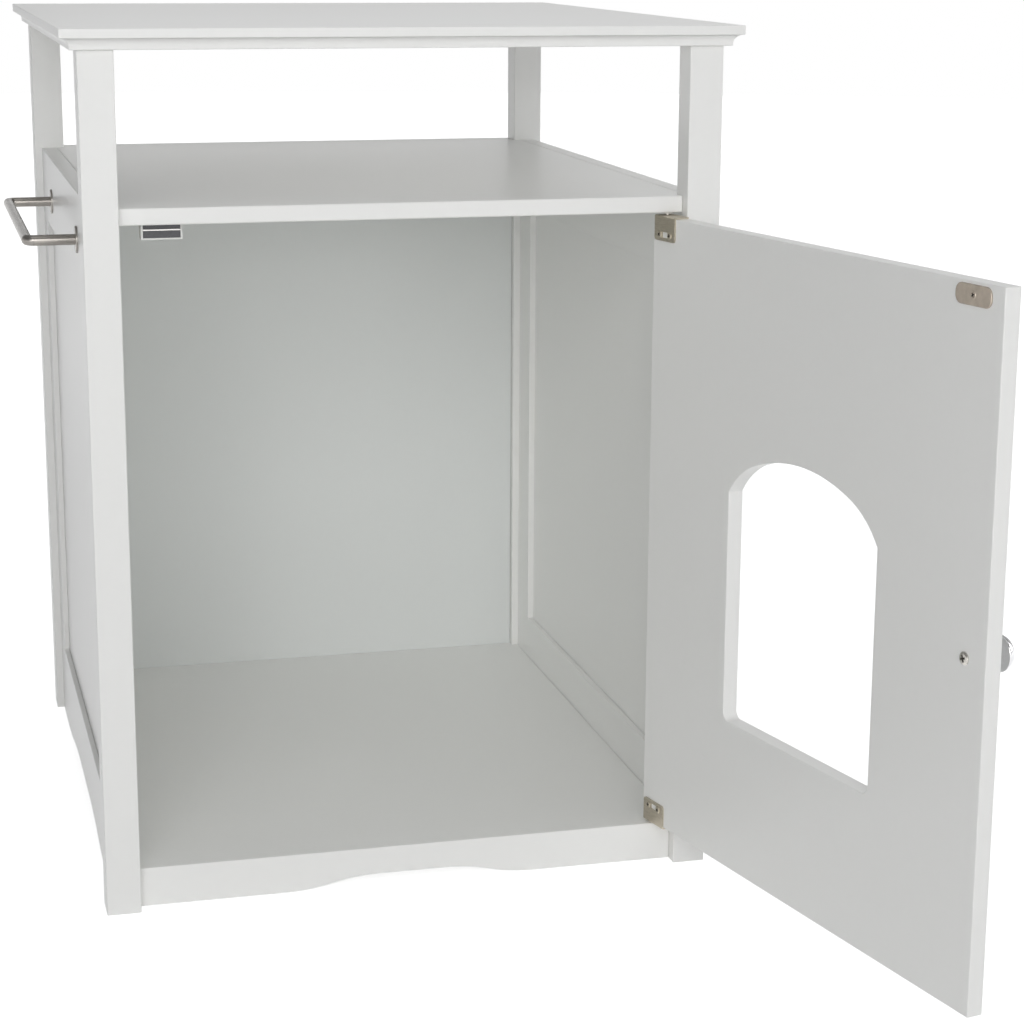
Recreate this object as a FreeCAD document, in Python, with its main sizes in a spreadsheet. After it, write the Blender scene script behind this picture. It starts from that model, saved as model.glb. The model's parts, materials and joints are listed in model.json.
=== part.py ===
import FreeCAD, Part
import os
import re
import Sketcher

# Driving sizes in millimetres and degrees. X runs to the right, Y to the back, Z up.
SIZES = [
    ("width", 459, "across the outer faces of the posts"),
    ("depth", 525, "front to back over the posts"),
    ("height", 637, "floor to the top surface"),
    ("post", 25, "square post section"),
    ("setback", 6, "side and back frames behind the post faces"),
    ("board", 12, "shelf, floor, apron and door thickness"),
    ("front_recess", 10, "shelf, door and apron behind the front of the posts"),
    ("top_edge", 6.5, "square edge of the top"),
    ("top_moulding", 8, "moulded part of the top's edge"),
    ("top_overhang", 12, "top edge beyond the posts"),
    ("moulding_overhang", 5, "foot of the moulding beyond the posts"),
    ("moulding_step", 0.5, "step between the square edge and the cove"),
    ("shelf_top", 514.5, "upper face of the shelf"),
    ("floor_top", 30.5, "upper face of the floor panel"),
    ("fit_gap", 0.2, "assembly clearance of boards between posts"),
    ("skirt_lift", 1, "lower edges of apron and sides above the floor"),
    ("apron_rise", 8.5, "height of the apron's arch"),
    ("apron_flat", 25, "half width of the apron's level middle"),
    ("apron_end", 95, "half width over the apron's arch"),
    ("rail_rise", 11, "height of the side rail's arch"),
    ("rail_flat", 45, "half width of the side rail's level middle"),
    ("rail_foot", 10.5, "level end of the side rail, beside the stile"),
    ("back_lift", 12, "lower edge of the back panel above the floor"),
    ("stile", 37, "width of the side stiles"),
    ("top_rail", 60, "height of the side's top rail"),
    ("low_rail_top", 67, "upper edge of the side's bottom rail"),
    ("panel_thick", 3, "recessed side panel"),
    ("panel_recess", 4.5, "panel behind the frame's outer face"),
    ("groove", 7, "depth of the panel grooves"),
    ("groove_play", 0.2, "groove wider than the panel"),
    ("door_gap", 2.5, "door to post, each side"),
    ("door_lift", 3, "door to floor panel and to shelf"),
    ("open_angle", 103, "door turned open from its shut place"),
    ("pin_edge", 7.5, "pivot from the door's hinge edge"),
    ("pin_face", 5, "pivot behind the door's outer face"),
    ("pin_radius", 2, "pivot pin"),
    ("pin_play", 0.05, "running clearance of the pin in its bush"),
    ("pin_depth", 7, "pin inside the bush"),
    ("bush_radius", 3.5, "outside of the bush"),
    ("bush_depth", 8, "length of the bush"),
    ("bush_rim", 4.5, "radius of the bush's rim"),
    ("rim_thick", 0.8, "thickness of the bush's rim"),
    ("arch_edge", 110.7, "door's hinge edge to its opening"),
    ("arch_width", 177.5, "opening in the door"),
    ("arch_sill", 111.5, "door's lower edge to the sill"),
    ("arch_spring", 281, "door's lower edge to the springing"),
    ("arch_rise", 35.5, "rise of the arch above the springing"),
    ("arch_turn", 56.5, "half width of the arch's flat middle curve"),
    ("arch_bow", 10.3, "drop of the middle curve at its ends"),
    ("arch_corner", 6, "corner radius at the sill"),
    ("plate_width", 27.9, "hinge bracket"),
    ("plate_edge", 3.1, "bracket from the door's hinge edge"),
    ("plate_drop", 17, "bracket along the door's inner face"),
    ("plate_thick", 1.2, "bracket metal"),
    ("tread_edge", 0.2, "bracket from the door's outer face"),
    ("plate_round", 2.5, "bracket corner radius"),
    ("slot_width", 8, "window in the bracket"),
    ("slot_height", 4.3, "window in the bracket"),
    ("screw_pitch", 14, "between the bracket's two screws"),
    ("screw_inset", 4.5, "screws from the bracket's free end"),
    ("screw_head", 2.8, "head radius of the small screws"),
    ("head_height", 0.6, "head height of the small screws"),
    ("screw_shank", 1.4, "shank radius of the small screws"),
    ("screw_depth", 9, "small screws in the wood"),
    ("knob_inset", 21, "knob from the door's free edge"),
    ("knob_height", 266, "knob above the floor"),
    ("knob_radius", 12.6, "dome of the knob"),
    ("knob_reach", 24, "knob from the door's outer face"),
    ("knob_foot", 8, "foot radius"),
    ("knob_neck", 6, "neck radius"),
    ("knob_step", 2, "thickness of the foot"),
    ("knob_brim", 14, "widest line of the dome from the door"),
    ("knob_waist", 9, "end of the neck from the door"),
    ("bolt_head", 4.3, "head radius of the knob and bar screws"),
    ("bolt_height", 1.6, "head height of the knob and bar screws"),
    ("bolt_shank", 2, "shank radius of the knob and bar screws"),
    ("bolt_bite", 9, "knob and bar screws in the metal"),
    ("bolt_play", 0.1, "hole wider than the shank, in radius"),
    ("strike_width", 34.5, "strike plate"),
    ("strike_height", 13, "strike plate"),
    ("strike_thick", 1.2, "strike plate"),
    ("strike_round", 5.5, "strike plate corners"),
    ("strike_inset", 29, "middle of the strike from the free edge"),
    ("strike_drop", 8.5, "middle of the strike below the door's top"),
    ("catch_width", 26.2, "magnets of the catch"),
    ("catch_wall", 1.4, "housing wall"),
    ("catch_depth", 14, "housing front to back"),
    ("catch_height", 11.8, "housing"),
    ("catch_ears", 46, "housing over its ears"),
    ("ear_thick", 1.4, "ears of the housing"),
    ("magnet_depth", 11, "magnets in the housing"),
    ("magnet_upper", 3, "height of the upper magnet"),
    ("magnet_lower", 5.2, "height of the lower magnet"),
    ("pole_thick", 1, "steel between the magnets"),
    ("pole_proud", 0.8, "steel before the magnets"),
    ("ear_inset", 3.5, "catch screws from the ends of the ears"),
    ("catch_gap", 0.3, "strike to steel with the door shut"),
    ("bar_height", 479, "towel bar above the floor"),
    ("bar_span", 260, "between the two ends of the bar"),
    ("bar_reach", 36, "bar's middle from the side"),
    ("bar_radius", 4, "bar"),
    ("bar_bend", 5, "bend radius at the middle of the bar"),
    ("flange_radius", 10, "bar flange"),
    ("flange_thick", 1.5, "bar flange"),
    ("dowel_radius", 3, "wooden dowel"),
    ("dowel_play", 0.05, "dowel hole wider in radius"),
    ("dowel_long", 14, "dowel in an end or an edge"),
    ("dowel_short", 8, "dowel in a face"),
    ("dowel_row", 150, "dowels from the middle, along the sides"),
    ("dowel_low", 95, "lower dowels of the stiles above the floor"),
    ("dowel_high", 415, "upper dowels of the stiles above the floor"),
    ("dowel_step", 25, "dowels of the back above the stiles' dowels"),
    ("dowel_spare", 1, "dowel and screw holes deeper than the fastener"),
    ("frame_x", 0, "cabinet's middle from the origin"),
    ("frame_y", 0, "cabinet's middle from the origin"),
]

DOC = FreeCAD.newDocument("LitterCabinet")
SHEET = DOC.addObject("Spreadsheet::Sheet", "Dims")
NAMES = {alias for alias, value, note in SIZES}
PIECES = []

# Places and sizes that several pieces share.
FRAME = "(post - 2*setback)"
INNER = "(width/2 - post + setback)"
OUTER = "(width/2 - setback)"
BETWEEN = "(width/2 - post)"
POST_X = "((width - post)/2)"
POST_Y = "((depth - post)/2)"
POST_FACE = "(depth/2 - post)"
POST_TOP = "(height - top_edge - top_moulding)"
SHELF_LOW = "(shelf_top - board)"
RAIL_HALF = "(depth/2 - post - stile)"
FRONT = "(-depth/2 + front_recess)"
BACK_FACE = "(depth/2 - post + setback)"
PANEL_IN = "(panel_recess + panel_thick/2 - " + FRAME + "/2)"
GROOVE_HALF = "((panel_thick + groove_play)/2)"
PIN_X = "(width/2 - post - door_gap - pin_edge)"
PIN_Y = "(" + FRONT + " + pin_face)"
DOOR_LOW = "(floor_top + door_lift)"
DOOR_HIGH = "(" + SHELF_LOW + " - door_lift)"
DOOR_INNER = "(board - pin_face)"
FREE_EDGE = "(pin_edge - width + 2*post + 2*door_gap)"
ARCH_MIDDLE = "(pin_edge - arch_edge - arch_width/2)"
STRIKE_X = "(" + FREE_EDGE + " + strike_inset)"
STRIKE_Z = "(" + DOOR_HIGH + " - strike_drop)"
KNOB_X = "(" + FREE_EDGE + " + knob_inset)"
PLATE_RIGHT = "(pin_edge - plate_edge)"
PLATE_LEFT = "(" + PLATE_RIGHT + " - plate_width)"
PLATE_MIDDLE = "(" + PLATE_RIGHT + " - plate_width/2)"
PLATE_SCREW = "(plate_drop - screw_inset)"
CATCH_X = "(" + PIN_X + " + " + STRIKE_X + ")"
CATCH_Y = "(" + FRONT + " + board + strike_thick + catch_gap + pole_proud)"
EAR_SCREW = "(catch_ears/2 - ear_inset)"
DOWEL_HOLE = "(dowel_radius + dowel_play)"
DOWEL_LENGTH = "dowel_long + dowel_short"
DOWEL_OUT = "(dowel_short - dowel_long)/2"
LONG_HOLE = "dowel_long + dowel_spare"
SHORT_HOLE = "dowel_short + dowel_spare"

ROLES = {"x": "YZ_Plane", "y": "XZ_Plane", "z": "XY_Plane"}
NORMALS = {"x": 1, "y": -1, "z": 1}


def fill_sheet():
    for row, (alias, value, note) in enumerate(SIZES, start=1):
        SHEET.set("A" + str(row), note)
        SHEET.set("B" + str(row), str(value))
        SHEET.setAlias("B" + str(row), alias)
    DOC.recompute()


def bound(text):
    """The same text with every size read from the sheet."""
    return re.sub(r"[a-z_]+", lambda m: "Dims." + m[0] if m[0] in NAMES else m[0], text)


def number(text):
    """What a size text comes to, for the first drawing of a sketch."""
    value = SHEET.evalExpression(bound(text))
    return float(getattr(value, "Value", value))


def signed(sign, text):
    return text if sign > 0 else "-(" + text + ")"


def new_body(label):
    body = DOC.addObject("PartDesign::Body", label)
    body.Label = label
    body.AllowCompound = True
    PIECES.append(body)
    return body


def new_sketch(body, name, axis="z", at="0"):
    """A sketch square to the axis, at the given place along it. Square to x it draws
    y and z, square to y it draws x and z, and square to z it draws x and y."""
    sketch = body.newObject("Sketcher::SketchObject", body.Label + "_" + name)
    role = ROLES[axis]
    plane = next(item for item in body.Origin.OriginFeatures if item.Role == role)
    sketch.AttachmentSupport = [(plane, "")]
    sketch.MapMode = "FlatFace"
    sketch.setExpression("AttachmentOffset.Base.z", bound(signed(NORMALS[axis], at)))
    return sketch


def faces_forward(sketch, sign):
    """True if the axis direction sign is also the sketch's own normal."""
    plane = sketch.AttachmentSupport[0][0]
    axis = next(key for key, role in ROLES.items() if role == plane.Role)
    return sign * NORMALS[axis] > 0


def fix_point(sketch, geometry, point, x, y):
    """Ties one point of a sketch to its distances from the sketch's origin."""
    for kind, axis, text in (("DistanceX", -2, x), ("DistanceY", -1, y)):
        if text is None:
            continue
        if text == "0":
            sketch.addConstraint(Sketcher.Constraint("PointOnObject", geometry, point, axis))
            continue
        constraint = Sketcher.Constraint(kind, -1, 1, geometry, point, number(text))
        index = sketch.addConstraint(constraint)
        sketch.setExpression("Constraints[%d]" % index, bound(text))


def draw_arc(sketch, start, stop, x, y, turn, tied):
    """An arc about x, y from start to stop, turning left or right. The coordinate
    named by tied is fixed, and the arc's ends give the other."""
    middle = FreeCAD.Vector(number(x), number(y), 0)
    circle = Part.Circle(middle, FreeCAD.Vector(0, 0, 1), (start - middle).Length)
    first, last = (start, stop) if turn == "left" else (stop, start)
    arc = Part.ArcOfCircle(circle, circle.parameter(first), circle.parameter(last))
    side = sketch.addGeometry(arc, False)
    fix_point(sketch, side, 3, x if tied == "x" else None, y if tied == "y" else None)
    return (side, 1, 2) if turn == "left" else (side, 2, 1)


def outline(sketch, corners, arcs=None, closed=True):
    """Lines through the corners, with an arc in place of the side that starts at a
    corner where arcs has its number."""
    arcs = arcs or {}
    points = [FreeCAD.Vector(number(x), number(y), 0) for x, y in corners]
    ends = []
    for i in range(len(points) if closed else len(points) - 1):
        start = points[i]
        stop = points[(i + 1) % len(points)]
        if i in arcs:
            ends.append(draw_arc(sketch, start, stop, *arcs[i]))
        else:
            ends.append((sketch.addGeometry(Part.LineSegment(start, stop), False), 1, 2))
    for i, (side, first, last) in enumerate(ends):
        fix_point(sketch, side, first, *corners[i])
        if closed or i + 1 < len(ends):
            following = ends[(i + 1) % len(ends)]
            sketch.addConstraint(
                Sketcher.Constraint("Coincident", side, last, following[0], following[1]))
        else:
            fix_point(sketch, side, last, *corners[i + 1])


def rectangle(sketch, low_x, low_y, high_x, high_y):
    outline(sketch, [(low_x, low_y), (high_x, low_y), (high_x, high_y), (low_x, high_y)])


def rounded(sketch, half_x, half_y, radius):
    """A rectangle about the sketch's origin with four round corners."""
    x = "(" + half_x + " - " + radius + ")"
    y = "(" + half_y + " - " + radius + ")"
    corners = [("-" + x, signed(-1, half_y)), (x, signed(-1, half_y)),
               (half_x, "-" + y), (half_x, y),
               (x, half_y), ("-" + x, half_y),
               (signed(-1, half_x), y), (signed(-1, half_x), "-" + y)]
    arcs = {1: (x, "-" + y, "left", "x"), 3: (x, y, "left", "x"),
            5: ("-" + x, y, "left", "x"), 7: ("-" + x, "-" + y, "left", "x")}
    outline(sketch, corners, arcs)


def circles(sketch, centres, radius):
    for x, y in centres:
        middle = FreeCAD.Vector(number(x), number(y), 0)
        circle = Part.Circle(middle, FreeCAD.Vector(0, 0, 1), number(radius))
        side = sketch.addGeometry(circle, False)
        fix_point(sketch, side, 3, x, y)
        index = sketch.addConstraint(Sketcher.Constraint("Radius", side, number(radius)))
        sketch.setExpression("Constraints[%d]" % index, bound(radius))


def pad(body, sketch, length, sign=0):
    """Adds material along the sketch's axis: up it, down it, or with 0 half each way."""
    feature = body.newObject("PartDesign::Pad", sketch.Label + "_pad")
    feature.Profile = sketch
    feature.SideType = "One side" if sign else "Symmetric"
    feature.Reversed = bool(sign) and not faces_forward(sketch, sign)
    feature.setExpression("Length", bound(length))
    DOC.recompute()
    return feature


def pocket(body, sketch, length, sign=0):
    """Cuts along the sketch's axis: up it, down it, or with 0 half each way."""
    before = body.Shape.Volume
    feature = body.newObject("PartDesign::Pocket", sketch.Label + "_pocket")
    feature.Profile = sketch
    feature.SideType = "One side" if sign else "Symmetric"
    feature.Reversed = bool(sign) and faces_forward(sketch, sign)
    feature.setExpression("Length", bound(length))
    DOC.recompute()
    if body.Shape.Volume > before - 1e-3:
        raise RuntimeError(sketch.Label + " cuts nothing")


def bores(body, name, axis, at, sign, centres, radius, depth):
    sketch = new_sketch(body, name, axis, at)
    circles(sketch, centres, radius)
    pocket(body, sketch, depth, sign)


def pegs(body, name, axis, at, sign, centres, radius, length):
    sketch = new_sketch(body, name, axis, at)
    circles(sketch, centres, radius)
    return pad(body, sketch, length, sign)


def round_edges(body, base, edges, radius):
    feature = body.newObject("PartDesign::Fillet", body.Label + "_fillet")
    feature.Base = (base, edges)
    feature.setExpression("Radius", bound(radius))
    DOC.recompute()


def round_rims(body, base, axis, at, radius):
    """Rounds the circular edges that lie square to the axis at the given place."""
    edges = []
    for i, edge in enumerate(base.Shape.Edges, start=1):
        circle = isinstance(edge.Curve, Part.Circle)
        if circle and abs(getattr(edge.Curve.Center, axis) - number(at)) < 1e-3:
            edges.append("Edge%d" % i)
    round_edges(body, base, edges, radius)


def place(body, x, y, z):
    for axis, text in (("x", x + " + frame_x"), ("y", y + " + frame_y"), ("z", z)):
        body.setExpression("Placement.Base." + axis, bound(text))


def place_on_door(body, x="0", y="0", z="0"):
    """A place in the frame of the shut door, whose origin is the pivot at the floor."""
    cosine = "cos(open_angle * 1 deg)"
    sine = "sin(open_angle * 1 deg)"
    east = "%s + (%s)*%s - (%s)*%s" % (PIN_X, x, cosine, y, sine)
    north = "%s + (%s)*%s + (%s)*%s" % (PIN_Y, x, sine, y, cosine)
    body.Placement = FreeCAD.Placement(
        FreeCAD.Vector(0, 0, 0), FreeCAD.Rotation(FreeCAD.Vector(0, 0, 1), 90))
    body.setExpression("Placement.Rotation.Angle", bound("open_angle * 1 deg"))
    place(body, east, north, z)


def make_top():
    """One board whose edge has a square lip over a cove, alike on all four sides."""
    body = new_body("top_panel")
    x = "(width/2 + top_overhang)"
    y = "(depth/2 + top_overhang)"
    sketch = new_sketch(body, "board")
    rectangle(sketch, "-" + x, "-" + y, x, y)
    pad(body, sketch, "top_edge + top_moulding", 1)
    cove = "(top_overhang - moulding_step - moulding_overhang)"
    for axis, half, run in (("y", "width/2", "depth"), ("x", "depth/2", "width")):
        sketch = new_sketch(body, "cove_along_" + run, axis)
        for sign in (1, -1):
            foot = signed(sign, half + " + moulding_overhang")
            lip = signed(sign, half + " + top_overhang - moulding_step")
            clear = signed(sign, half + " + 2*top_overhang")
            middle = "top_moulding - " + cove
            corners = [(foot, "0"), (clear, "0"), (clear, "top_moulding"),
                       (lip, "top_moulding"), (foot, middle)]
            turn = "left" if sign > 0 else "right"
            outline(sketch, corners, {3: (lip, middle, turn, "y")})
        pocket(body, sketch, run + " + 4*top_overhang")
    centres = [(signed(a, POST_X), signed(b, POST_Y)) for a in (1, -1) for b in (1, -1)]
    bores(body, "dowel_bores", "z", "0", 1, centres, DOWEL_HOLE, SHORT_HOLE)
    place(body, "0", "0", POST_TOP)


def make_post(label, side, end):
    body = new_body(label)
    sketch = new_sketch(body, "section")
    rectangle(sketch, "-post/2", "-post/2", "post/2", "post/2")
    pad(body, sketch, POST_TOP, 1)
    bores(body, "top_bore", "z", POST_TOP, -1, [("0", "0")], DOWEL_HOLE, LONG_HOLE)
    bores(body, "stile_bores", "y", signed(-end, "post/2"), end,
          [("0", "dowel_low"), ("0", "dowel_high")], DOWEL_HOLE, SHORT_HOLE)
    if end > 0:
        cross = [("0", "dowel_low + dowel_step"), ("0", "dowel_high + dowel_step")]
    else:
        cross = [("front_recess + board/2 - post/2", "floor_top/2")]
    bores(body, "cross_bores", "x", signed(-side, "post/2"), side, cross,
          DOWEL_HOLE, SHORT_HOLE)
    place(body, signed(side, POST_X), signed(end, POST_Y), "0")


def make_board(label, front, back, level):
    """A board between the sides, cut back round the four posts."""
    body = new_body(label)
    narrow = "(" + BETWEEN + " - fit_gap)"
    wide = "(" + INNER + " - fit_gap)"
    step = "(" + POST_FACE + " - fit_gap)"
    right = [(narrow, front), (narrow, "-" + step), (wide, "-" + step),
             (wide, step), (narrow, step), (narrow, back)]
    left = [("-" + x, y) for x, y in reversed(right)]
    sketch = new_sketch(body, "board")
    outline(sketch, right + left)
    pad(body, sketch, "board", 1)
    for side in (1, -1):
        centres = [(signed(end, "dowel_row"), "board/2") for end in (1, -1)]
        bores(body, "bores_right" if side > 0 else "bores_left", "x", signed(side, wide),
              -side, centres, DOWEL_HOLE, LONG_HOLE)
    place(body, "0", "0", level)
    return body


def make_shelf():
    body = make_board("shelf", FRONT, "depth/2", SHELF_LOW)
    bores(body, "bush_bore", "z", "0", 1, [(PIN_X, PIN_Y)], "bush_radius", "bush_depth")
    centres = [(CATCH_X + " + " + signed(side, EAR_SCREW), CATCH_Y + " + catch_depth/2")
               for side in (1, -1)]
    bores(body, "catch_bores", "z", "0", 1, centres, "screw_shank",
          "screw_depth + dowel_spare")


def make_floor():
    make_board("floor_panel", FRONT + " + board", BACK_FACE, "floor_top - board")


def make_back():
    body = new_body("back_panel")
    half = "(" + BETWEEN + " - fit_gap)"
    sketch = new_sketch(body, "board", "y")
    rectangle(sketch, "-" + half, "back_lift", half, SHELF_LOW)
    pad(body, sketch, FRAME)
    centres = [("0", "dowel_low + dowel_step"), ("0", "dowel_high + dowel_step")]
    for side in (1, -1):
        bores(body, "bores_right" if side > 0 else "bores_left", "x", signed(side, half),
              -side, centres, DOWEL_HOLE, LONG_HOLE)
    place(body, "0", POST_Y, "0")


def wave(sketch, half, top, flat, end, rise):
    """A board's face whose lower edge rises in an S curve to a level middle."""
    turn_x = "(" + flat + " + " + end + ")/2"
    low = "skirt_lift"
    mid = "skirt_lift + " + rise + "/2"
    high = "skirt_lift + " + rise
    run = "(" + end + " - " + flat + ")"
    radius = "(" + run + "*" + run + " + " + rise + "*" + rise + ")/(4*" + rise + ")"
    corners = [("-" + half, low), ("-" + end, low), ("-" + turn_x, mid), ("-" + flat, high),
               (flat, high), (turn_x, mid), (end, low), (half, low),
               (half, top), ("-" + half, top)]
    arcs = {1: ("-" + end, low + " + " + radius, "left", "x"),
            2: ("-" + flat, high + " - " + radius, "right", "x"),
            4: (flat, high + " - " + radius, "right", "x"),
            5: (end, low + " + " + radius, "left", "x")}
    outline(sketch, corners, arcs)


def make_apron():
    body = new_body("front_apron")
    half = "(" + BETWEEN + " - fit_gap)"
    sketch = new_sketch(body, "face", "y")
    wave(sketch, half, "floor_top", "apron_flat", "apron_end", "apron_rise")
    pad(body, sketch, "board", 1)
    for side in (1, -1):
        bores(body, "bore_right" if side > 0 else "bore_left", "x", signed(side, half),
              -side, [("board/2", "floor_top/2")], DOWEL_HOLE, LONG_HOLE)
    bores(body, "bush_bore", "z", "floor_top", -1, [(PIN_X, "pin_face")],
          "bush_radius", "bush_depth")
    place(body, "0", FRONT, "0")


def groove_across(body, side, low, high):
    """The panel's groove along a rail."""
    centre = signed(-side, PANEL_IN)
    sketch = new_sketch(body, "groove", "y")
    rectangle(sketch, centre + " - " + GROOVE_HALF, low, centre + " + " + GROOVE_HALF, high)
    pocket(body, sketch, "2*" + RAIL_HALF + " + stile")


def make_stile(label, side, end):
    body = new_body(label)
    half = FRAME + "/2"
    sketch = new_sketch(body, "section", "z", "skirt_lift")
    rectangle(sketch, "-" + half, "-stile/2", half, "stile/2")
    pad(body, sketch, "shelf_top - skirt_lift", 1)
    centre = signed(-side, PANEL_IN)
    sketch = new_sketch(body, "groove", "z", "low_rail_top - groove")
    rectangle(sketch, centre + " - " + GROOVE_HALF, signed(-end, "(stile/2 - groove)"),
              centre + " + " + GROOVE_HALF, signed(-end, "stile/2"))
    pocket(body, sketch, "shelf_top - top_rail - low_rail_top + 2*groove", 1)
    bores(body, "bores", "y", signed(end, "stile/2"), -end,
          [("0", "dowel_low"), ("0", "dowel_high")], DOWEL_HOLE, LONG_HOLE)
    place(body, signed(side, POST_X), signed(end, "(" + POST_FACE + " - stile/2)"), "0")


def dowel_bores_in(body, side, height):
    """Bores in the inner face of a side rail, for the board that meets it."""
    bores(body, "board_bores", "x", signed(-side, FRAME + "/2"), side,
          [(signed(end, "dowel_row"), height) for end in (1, -1)], DOWEL_HOLE, SHORT_HOLE)


def make_top_rail(label, side):
    body = new_body(label)
    low = "(shelf_top - top_rail)"
    sketch = new_sketch(body, "face", "x")
    rectangle(sketch, "-" + RAIL_HALF, low, RAIL_HALF, "shelf_top")
    pad(body, sketch, FRAME)
    groove_across(body, side, low, low + " + groove")
    dowel_bores_in(body, side, "shelf_top - board/2")
    if side < 0:
        bores(body, "bar_bores", "x", "0", 0,
              [(signed(end, "bar_span/2"), "bar_height") for end in (1, -1)],
              "bolt_shank + bolt_play", "2*" + FRAME)
    place(body, signed(side, POST_X), "0", "0")


def make_low_rail(label, side):
    body = new_body(label)
    sketch = new_sketch(body, "face", "x")
    wave(sketch, RAIL_HALF, "low_rail_top", "rail_flat", "(" + RAIL_HALF + " - rail_foot)",
         "rail_rise")
    pad(body, sketch, FRAME)
    groove_across(body, side, "low_rail_top - groove", "low_rail_top")
    dowel_bores_in(body, side, "floor_top - board/2")
    place(body, signed(side, POST_X), "0", "0")


def make_side_panel(label, side):
    body = new_body(label)
    half = "(" + RAIL_HALF + " + groove - fit_gap)"
    sketch = new_sketch(body, "face", "x")
    rectangle(sketch, "-" + half, "low_rail_top - groove + fit_gap",
              half, "shelf_top - top_rail + groove - fit_gap")
    pad(body, sketch, "panel_thick")
    place(body, signed(side, POST_X + " - " + PANEL_IN), "0", "0")


def make_dowels(label, axis, mouth, centres):
    """Dowels across two mouth planes, or one, each long side towards the middle."""
    body = new_body(label)
    for sign in (1, -1) if axis != "z" else (1,):
        at = signed(sign, mouth + " + " + DOWEL_OUT)
        pegs(body, "up" if sign > 0 else "down", axis, at, 0, centres,
             "dowel_radius", DOWEL_LENGTH)
    place(body, "0", "0", "0")


def make_all_dowels():
    corners = [(signed(a, POST_X), signed(b, POST_Y)) for a in (1, -1) for b in (1, -1)]
    make_dowels("top_dowels", "z", POST_TOP, corners)
    rows = [signed(end, "dowel_row") for end in (1, -1)]
    make_dowels("shelf_dowels", "x", INNER, [(y, "shelf_top - board/2") for y in rows])
    make_dowels("floor_dowels", "x", INNER, [(y, "floor_top - board/2") for y in rows])
    make_dowels("apron_dowels", "x", BETWEEN, [(FRONT + " + board/2", "floor_top/2")])
    make_dowels("back_dowels", "x", BETWEEN,
                [(POST_Y, z + " + dowel_step") for z in ("dowel_low", "dowel_high")])
    make_dowels("stile_dowels", "y", POST_FACE,
                [(signed(side, POST_X), z) for side in (1, -1)
                 for z in ("dowel_low", "dowel_high")])


def draw_arch(sketch):
    """The cat's opening: level sill with small round corners, upright sides and an
    arch of three curves, a flat one in the middle and a tighter one at each side."""
    left = "(" + ARCH_MIDDLE + " - arch_width/2)"
    right = "(" + ARCH_MIDDLE + " + arch_width/2)"
    sill = "(" + DOOR_LOW + " + arch_sill)"
    spring = "(" + DOOR_LOW + " + arch_spring)"
    low = sill + " + arch_corner"
    reach = "(arch_width/2 - arch_turn)"
    fall = "(arch_rise - arch_bow)"
    wide = "((arch_turn*arch_turn + arch_bow*arch_bow)/(2*arch_bow))"
    level = "(" + wide + " - arch_bow)"
    spare = "(" + level + "*" + fall + " - arch_turn*" + reach + ")"
    share = "(1 - (" + reach + "*" + reach + " + " + fall + "*" + fall + ")/(2*" + spare + "))"
    crown = "(" + spring + " + arch_rise - " + wide + ")"
    shoulder = spring + " + " + fall
    side_centre = crown + " + " + level + "*" + share
    corners = [(left, low), (left, spring), (ARCH_MIDDLE + " - arch_turn", shoulder),
               (ARCH_MIDDLE + " + arch_turn", shoulder), (right, spring), (right, low),
               (right + " - arch_corner", sill), (left + " + arch_corner", sill)]
    arcs = {1: (ARCH_MIDDLE + " - arch_turn*" + share, side_centre, "right", "x"),
            2: (ARCH_MIDDLE, crown, "right", "y"),
            3: (ARCH_MIDDLE + " + arch_turn*" + share, side_centre, "right", "x"),
            5: (right + " - arch_corner", low, "right", "x"),
            7: (left + " + arch_corner", low, "right", "x")}
    outline(sketch, corners, arcs)


def bracket_screws(sign):
    """Places of a bracket's two screws from the door's edge, above or below."""
    return [(PLATE_MIDDLE + side + "screw_pitch/2", signed(-sign, PLATE_SCREW))
            for side in (" + ", " - ")]


def make_door():
    body = new_body("door")
    sketch = new_sketch(body, "face", "y", "-pin_face")
    rectangle(sketch, FREE_EDGE, DOOR_LOW, "pin_edge", DOOR_HIGH)
    draw_arch(sketch)
    pad(body, sketch, "board", 1)
    screws = [(x, DOOR_HIGH + " + " + z) for x, z in bracket_screws(1)]
    screws += [(x, DOOR_LOW + " + " + z) for x, z in bracket_screws(-1)]
    screws.append((STRIKE_X, STRIKE_Z))
    bores(body, "screw_bores", "y", DOOR_INNER, -1, screws, "screw_shank",
          "screw_depth + dowel_spare")
    bores(body, "knob_bore", "y", "0", 0, [(KNOB_X, "knob_height")],
          "bolt_shank + bolt_play", "4*board")
    place_on_door(body)


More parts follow.
